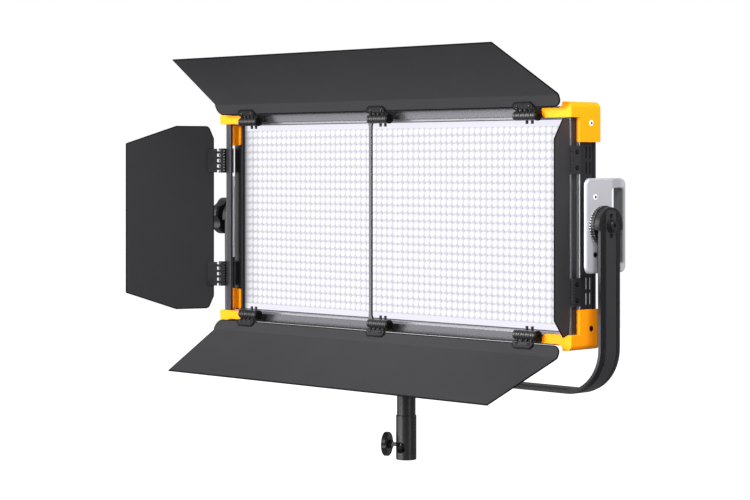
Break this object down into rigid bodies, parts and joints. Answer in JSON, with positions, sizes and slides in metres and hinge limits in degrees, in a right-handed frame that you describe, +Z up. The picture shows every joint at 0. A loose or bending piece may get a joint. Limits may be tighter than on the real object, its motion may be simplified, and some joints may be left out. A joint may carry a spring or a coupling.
{
  "type": "led panel light",
  "caption": "Rectangular studio LED panel light with folding barn doors, amber corner guards, grip end plates and a tilting U-shaped yoke on a stand receiver.",
  "frame": {"origin": "centre of the stand socket's mouth", "axes": "+X across the panel towards the arm with the tilt bolt, -Y out of the lit face, +Z up"},
  "size_m": [0.7925, 0.2394, 0.5515],
  "materials": {
    "frame_black": "black anodised",
    "rail_black": "satin black anodised",
    "yoke_black": "matte black powder coat",
    "door_black": "matte black powder coat",
    "hinge_black": "satin black",
    "guard_amber": "satin amber",
    "plate_silver": "bead-blasted silver",
    "case_grey": "fine texture",
    "moulded_black": "fine texture",
    "knob_black": "soft satin",
    "button_grey": "matte",
    "display_glass": "gloss",
    "lens_white": "clear moulded lenses, lit",
    "led_white": "white solder mask",
    "board_green": "solder mask",
    "heat_sink_alloy": "extruded",
    "supply_steel": "potted block",
    "port_steel": "satin",
    "dark_screw": "black oxide",
    "bright_stud": "bright zinc"
  },
  "bodies": {
    "yoke": {"yoke": "yoke_black", "hub_covers": "moulded_black", "tilt_bolt": "dark_screw", "stand_receiver": "yoke_black", "receiver_bolt": "dark_screw"},
    "thumbscrew": {"thumbscrew_stud": "bright_stud", "thumbscrew_knob": "knob_black"},
    "tilt_knob": {"tilt_knob": "knob_black", "tilt_stud": "bright_stud"},
    "head": {"frame_top": "frame_black", "frame_bottom": "frame_black", "frame_right": "frame_black", "frame_left": "frame_black", "guard_top_right": "guard_amber", "guard_top_left": "guard_amber", "guard_bottom_right": "guard_amber", "guard_bottom_left": "guard_amber", "guard_screws": "dark_screw", "lens_panel_right": "lens_white", "lens_panel_left": "lens_white", "led_board_right": "led_white", "led_board_left": "led_white", "heat_sink": "heat_sink_alloy", "rear_cover": "frame_black", "end_plate_right": "plate_silver", "end_plate_left": "plate_silver", "plate_screws": "dark_screw", "tilt_discs": "moulded_black", "controller_case": "case_grey", "control_panel": "moulded_black", "display": "display_glass", "control_board": "board_green", "power_supply": "supply_steel", "power_inlet": "moulded_black", "data_ports": "port_steel", "battery_plates": "case_grey", "rail_top": "rail_black", "rail_bottom": "rail_black", "rail_right": "rail_black", "rail_left": "rail_black", "centre_bar": "rail_black", "rail_hinges": "hinge_black", "hinge_pins": "hinge_black", "rail_screws": "dark_screw"},
    "top_door": {"top_door": "door_black", "top_door_hinges": "hinge_black"},
    "bottom_door": {"bottom_door": "door_black", "bottom_door_hinges": "hinge_black"},
    "right_door": {"right_door": "door_black", "right_door_hinges": "hinge_black"},
    "left_door": {"left_door": "door_black", "left_door_hinges": "hinge_black"},
    "power_switch": {"power_switch": "moulded_black"},
    "battery_release_left": {"battery_release_left": "moulded_black"},
    "battery_release_right": {"battery_release_right": "moulded_black"},
    "button_menu": {"button_menu": "button_grey"},
    "button_mode": {"button_mode": "button_grey"},
    "button_back": {"button_back": "button_grey"},
    "dial_dimmer": {"dial_dimmer": "knob_black"},
    "dial_colour": {"dial_colour": "knob_black"}
  },
  "joints": [
    {"name": "tilt", "type": "hinge", "parent": "yoke", "child": "head", "pos_m": [0, 0, 0.326], "axis": [-1, 0, 0], "range_deg": [-15, 90]},
    {"name": "top_door_swing", "type": "hinge", "parent": "head", "child": "top_door", "pos_m": [0, -0.0555, 0.464], "axis": [-1, 0, 0], "range_deg": [-118, 25]},
    {"name": "bottom_door_swing", "type": "hinge", "parent": "head", "child": "bottom_door", "pos_m": [0, -0.0555, 0.188], "axis": [1, 0, 0], "range_deg": [-112.5, 25]},
    {"name": "right_door_swing", "type": "hinge", "parent": "head", "child": "right_door", "pos_m": [0.33, -0.0472, 0.326], "axis": [0, 0, 1], "range_deg": [-121, 23]},
    {"name": "left_door_swing", "type": "hinge", "parent": "head", "child": "left_door", "pos_m": [-0.33, -0.0472, 0.326], "axis": [0, 0, -1], "range_deg": [-111, 30]},
    {"name": "tilt_knob_turn", "type": "hinge", "parent": "yoke", "child": "tilt_knob", "pos_m": [-0.356, 0, 0.326], "axis": [-1, 0, 0], "range_deg": [0, 360]},
    {"name": "thumbscrew_turn", "type": "hinge", "parent": "yoke", "child": "thumbscrew", "pos_m": [0, 0, 0.02], "axis": [-0.8988, -0.4384, 0], "range_deg": [0, 360]},
    {"name": "power_switch_rock", "type": "hinge", "parent": "head", "child": "power_switch", "pos_m": [0.139, 0.0425, 0.362], "axis": [-1, 0, 0], "range_deg": [0, 13]},
    {"name": "dial_dimmer_turn", "type": "hinge", "parent": "head", "child": "dial_dimmer", "pos_m": [-0.08, 0.0435, 0.332], "axis": [0, 1, 0], "continuous": true},
    {"name": "dial_colour_turn", "type": "hinge", "parent": "head", "child": "dial_colour", "pos_m": [-0.052, 0.0435, 0.332], "axis": [0, 1, 0], "continuous": true},
    {"name": "button_menu_press", "type": "slide", "parent": "head", "child": "button_menu", "axis": [0, -1, 0], "range_m": [0, 0.0012], "stiffness_N_per_m": 300, "springref_m": -0.001},
    {"name": "button_mode_press", "type": "slide", "parent": "head", "child": "button_mode", "axis": [0, -1, 0], "range_m": [0, 0.0012], "stiffness_N_per_m": 300, "springref_m": -0.001},
    {"name": "button_back_press", "type": "slide", "parent": "head", "child": "button_back", "axis": [0, -1, 0], "range_m": [0, 0.0012], "stiffness_N_per_m": 300, "springref_m": -0.001},
    {"name": "battery_release_left_slide", "type": "slide", "parent": "head", "child": "battery_release_left", "axis": [0, 0, 1], "range_m": [0, 0.0055], "stiffness_N_per_m": 200, "springref_m": -0.003},
    {"name": "battery_release_right_slide", "type": "slide", "parent": "head", "child": "battery_release_right", "axis": [0, 0, 1], "range_m": [0, 0.0055], "stiffness_N_per_m": 200, "springref_m": -0.003}
  ]
}
